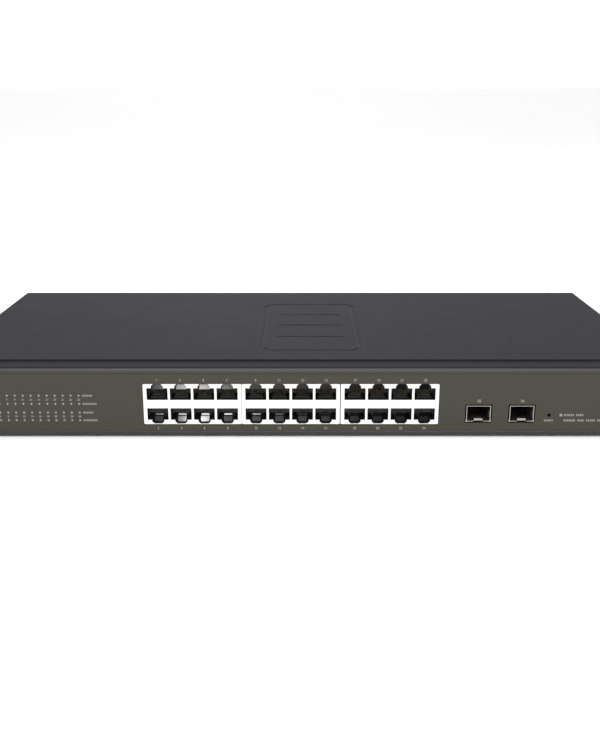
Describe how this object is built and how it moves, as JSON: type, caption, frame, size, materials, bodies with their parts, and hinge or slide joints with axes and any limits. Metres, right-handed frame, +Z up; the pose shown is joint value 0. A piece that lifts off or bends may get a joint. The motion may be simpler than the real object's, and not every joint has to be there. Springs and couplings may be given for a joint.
{
  "type": "rackmount network switch",
  "caption": "Flat one-unit rack switch: charcoal steel case with rack ears, white socket blocks in two rows, fibre cages, lamp field, rear inlet and fan.",
  "frame": {"origin": "on the surface the feet stand on, under the middle of the whole width and depth", "axes": "+X along the front panel to the viewer's right, +Y from the front panel to the rear, +Z up"},
  "size_m": [0.4826, 0.211, 0.0444],
  "materials": {
    "case_steel": "charcoal powder coat, fine texture",
    "bezel_plastic": "dark grey moulding",
    "printed_film": "dark olive-grey printed film",
    "foot_rubber": "black rubber",
    "white_nylon": "white moulding",
    "contact_gold": "gold-plated spring wire",
    "cage_nickel": "nickel-plated",
    "black_plastic": "black moulding",
    "lens_plastic": "milky lens",
    "button_plastic": "dark plastic",
    "board_laminate": "green solder mask",
    "insulation_film": "translucent insulating sheet",
    "black_screw": "black oxide",
    "zinc_screw": "bright zinc",
    "heatsink_aluminium": "extruded aluminium",
    "capacitor_can": "dark sleeve",
    "filter_yellow": "yellow box capacitor",
    "choke_green": "wound ring core",
    "transformer_tape": "taped winding",
    "lead_insulation": "insulated wire"
  },
  "bodies": {
    "chassis": {"base_pan": "case_steel", "bezel_screws": "zinc_screw", "board_capacitors": "capacitor_can", "board_inductors": "black_plastic", "board_power_connector": "white_nylon", "board_screws": "zinc_screw", "board_standoffs": "cage_nickel", "cover_screws": "black_screw", "ear_screws": "black_screw", "fan_connector": "white_nylon", "fan_frame": "black_plastic", "fan_lead": "lead_insulation", "fan_screws": "zinc_screw", "feet": "foot_rubber", "front_bezel": "bezel_plastic", "front_film": "printed_film", "ground_screw": "zinc_screw", "inlet_screws": "zinc_screw", "jack_block_left": "black_plastic", "jack_block_middle": "black_plastic", "jack_block_right": "black_plastic", "jack_contacts_left": "contact_gold", "jack_contacts_middle": "contact_gold", "jack_contacts_right": "contact_gold", "lamp_holders": "black_plastic", "lamp_lenses": "lens_plastic", "magnetics": "black_plastic", "main_board": "board_laminate", "mains_leads": "lead_insulation", "memory_chips": "black_plastic", "phy_chips": "black_plastic", "phy_heatsinks": "heatsink_aluminium", "port_plate_left": "white_nylon", "port_plate_middle": "white_nylon", "port_plate_right": "white_nylon", "power_inlet": "black_plastic", "power_inlet_pins": "cage_nickel", "rack_ear_left": "case_steel", "rack_ear_right": "case_steel", "reset_switch_body": "black_plastic", "sfp_cage_left": "cage_nickel", "sfp_cage_right": "cage_nickel", "sfp_connectors": "black_plastic", "supply_board": "board_laminate", "supply_bulk_capacitor": "capacitor_can", "supply_choke": "choke_green", "supply_filter_capacitors": "filter_yellow", "supply_heatsinks": "heatsink_aluminium", "supply_insulator": "insulation_film", "supply_lead": "lead_insulation", "supply_output_capacitors": "capacitor_can", "supply_output_connector": "white_nylon", "supply_semiconductors": "black_plastic", "supply_transformer": "transformer_tape", "switch_chip": "black_plastic", "switch_heatsink": "heatsink_aluminium", "top_cover": "case_steel"},
    "reset_button": {"reset_button": "button_plastic"},
    "fan_rotor": {"fan_rotor": "black_plastic"}
  },
  "joints": [
    {"name": "reset_press", "type": "slide", "parent": "chassis", "child": "reset_button", "axis": [0, 1, 0], "range_m": [0, 0.0003], "stiffness_N_per_m": 800, "springref_m": -0.0002},
    {"name": "fan_spin", "type": "hinge", "parent": "chassis", "child": "fan_rotor", "pos_m": [0.172, 0.09, 0.022], "axis": [0, 1, 0], "continuous": true}
  ]
}
